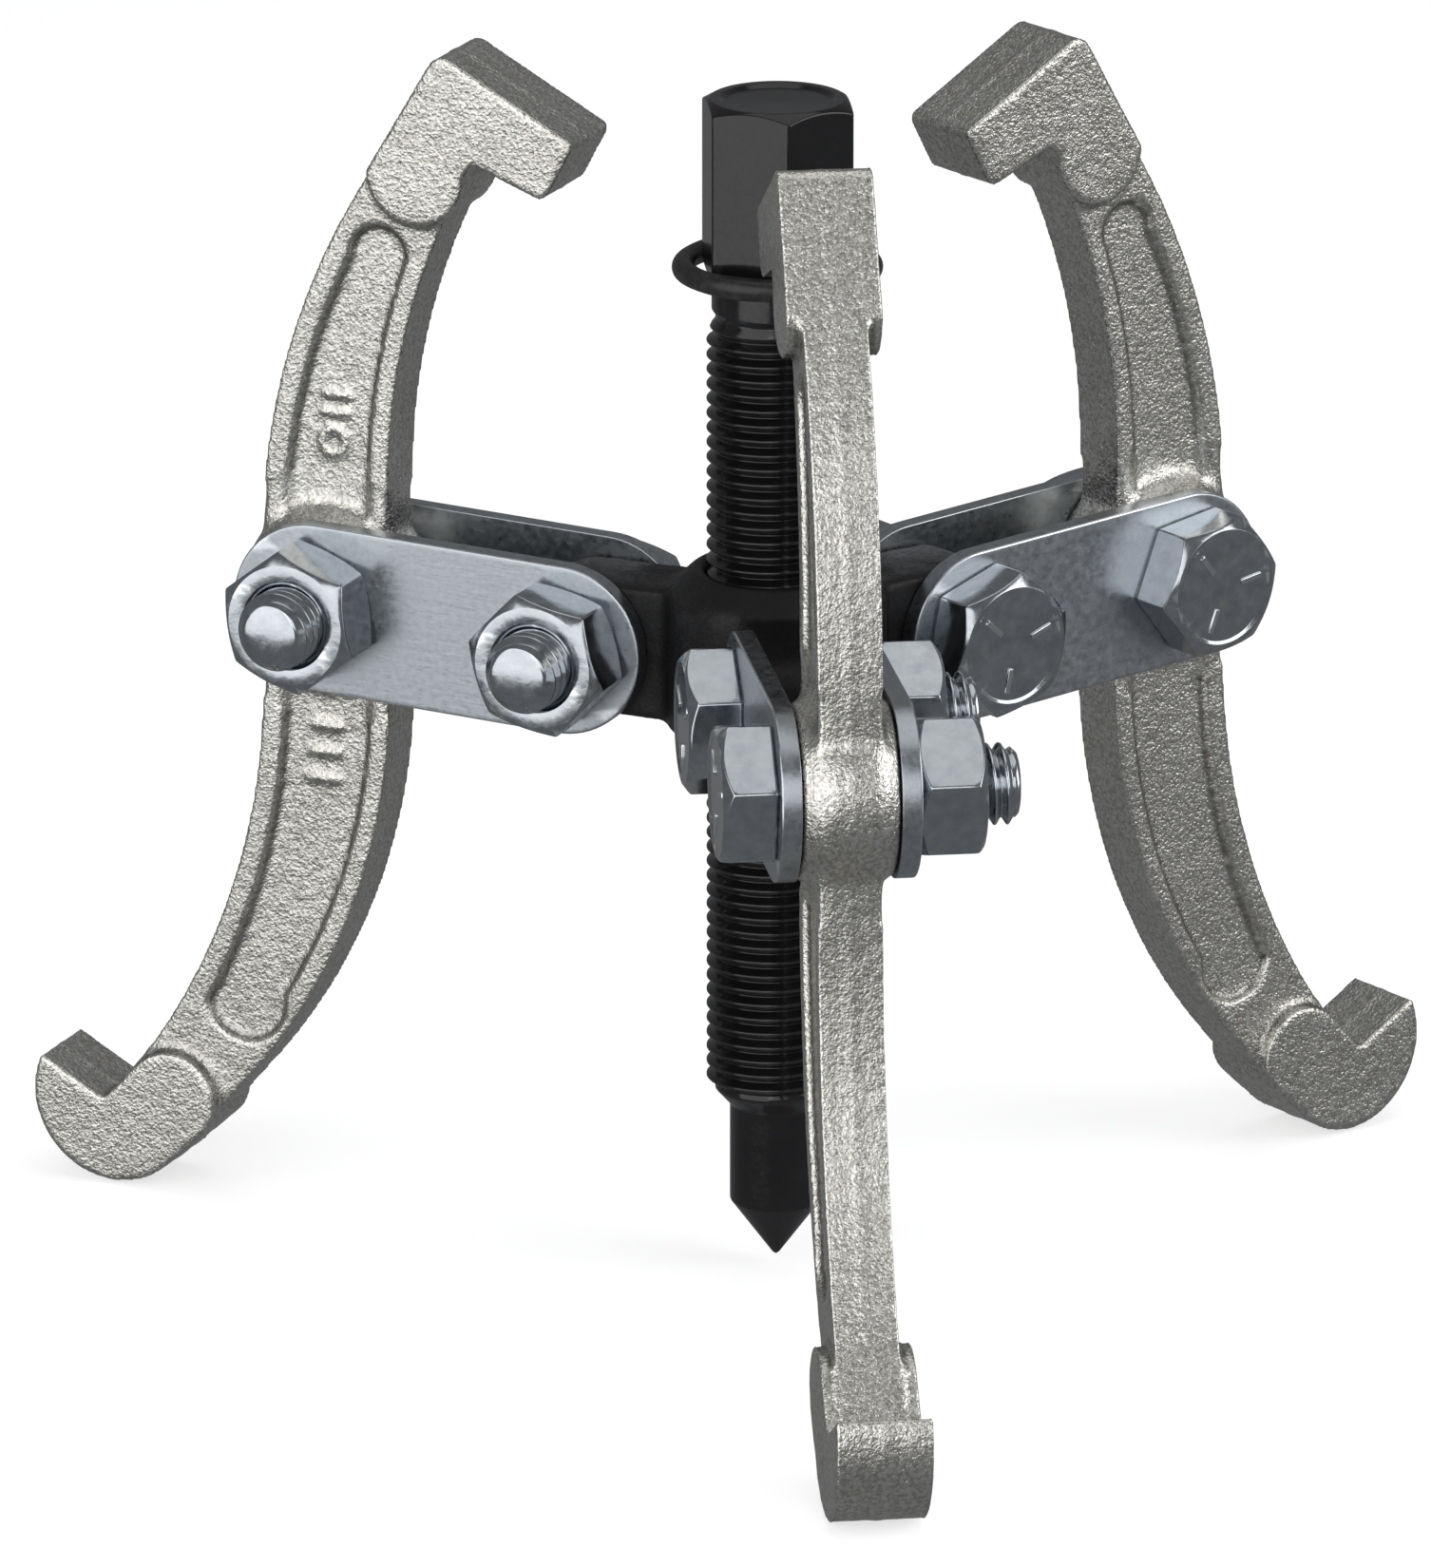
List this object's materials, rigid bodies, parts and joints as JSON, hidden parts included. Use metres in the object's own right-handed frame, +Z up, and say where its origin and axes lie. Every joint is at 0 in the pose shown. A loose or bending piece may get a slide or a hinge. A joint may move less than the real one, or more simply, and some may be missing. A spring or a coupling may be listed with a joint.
{
  "type": "three-jaw gear puller",
  "caption": "Reversible three-jaw gear puller: forged jaws hinged on paired links around a black yoke, with a hexagon-headed forcing screw.",
  "frame": {"origin": "point of the forcing screw", "axes": "+Z up the screw towards its hexagon, -Y through the front jaw"},
  "size_m": [0.1448, 0.1254, 0.1228],
  "materials": {
    "black_oxide": "forged, satin black oxide",
    "black_oxide_thread": "turned, oiled black oxide",
    "rubber": "smooth black rubber",
    "forged_jaw": "forged, shot-blasted, matt silver plating",
    "zinc_strip": "stamped strip, satin zinc plating",
    "zinc_fastener": "bright zinc plating"
  },
  "bodies": {
    "yoke": {"yoke": "black_oxide"},
    "screw_ring": {"rubber_ring": "rubber"},
    "screw": {"forcing_screw": "black_oxide_thread"},
    "link_front": {"link_front_nut_side": "zinc_strip", "link_front_head_side": "zinc_strip", "yoke_bolt_front": "zinc_fastener", "yoke_nut_front": "zinc_fastener", "jaw_bolt_front": "zinc_fastener", "jaw_nut_front": "zinc_fastener"},
    "jaw_front": {"jaw_front": "forged_jaw"},
    "link_right": {"link_right_nut_side": "zinc_strip", "link_right_head_side": "zinc_strip", "yoke_bolt_right": "zinc_fastener", "yoke_nut_right": "zinc_fastener", "jaw_bolt_right": "zinc_fastener", "jaw_nut_right": "zinc_fastener"},
    "jaw_right": {"jaw_right": "forged_jaw"},
    "link_left": {"link_left_nut_side": "zinc_strip", "link_left_head_side": "zinc_strip", "yoke_bolt_left": "zinc_fastener", "yoke_nut_left": "zinc_fastener", "jaw_bolt_left": "zinc_fastener", "jaw_nut_left": "zinc_fastener"},
    "jaw_left": {"jaw_left": "forged_jaw"}
  },
  "joints": [
    {"name": "screw_feed", "type": "slide", "parent": "yoke", "child": "screw_ring", "axis": [0, 0, 1], "range_m": [-0.024, 0.0345]},
    {"name": "screw_spin", "type": "hinge", "parent": "screw_ring", "child": "screw", "pos_m": [0, 0, 0.0631], "axis": [0, 0, 1], "range_deg": [-5762, 8282]},
    {"name": "link_lift_front", "type": "hinge", "parent": "yoke", "child": "link_front", "pos_m": [0, -0.0207, 0.0631], "axis": [-1, 0, 0], "range_deg": [-40, 10]},
    {"name": "jaw_swing_front", "type": "hinge", "parent": "link_front", "child": "jaw_front", "pos_m": [0, -0.04767, 0.06428], "axis": [1, 0, 0], "range_deg": [-11, 50]},
    {"name": "link_lift_right", "type": "hinge", "parent": "yoke", "child": "link_right", "pos_m": [0.01793, 0.01035, 0.0631], "axis": [0.5, -0.866, 0], "range_deg": [-40, 10]},
    {"name": "jaw_swing_right", "type": "hinge", "parent": "link_right", "child": "jaw_right", "pos_m": [0.04129, 0.02384, 0.06428], "axis": [-0.5, 0.866, 0], "range_deg": [-11, 50]},
    {"name": "link_lift_left", "type": "hinge", "parent": "yoke", "child": "link_left", "pos_m": [-0.01793, 0.01035, 0.0631], "axis": [0.5, 0.866, 0], "range_deg": [-40, 10]},
    {"name": "jaw_swing_left", "type": "hinge", "parent": "link_left", "child": "jaw_left", "pos_m": [-0.04129, 0.02384, 0.06428], "axis": [-0.5, -0.866, 0], "range_deg": [-11, 50]}
  ],
  "couplings": [
    {"joint": "screw_spin", "follows": "screw_feed", "rad_per_m": 4188.8}
  ]
}
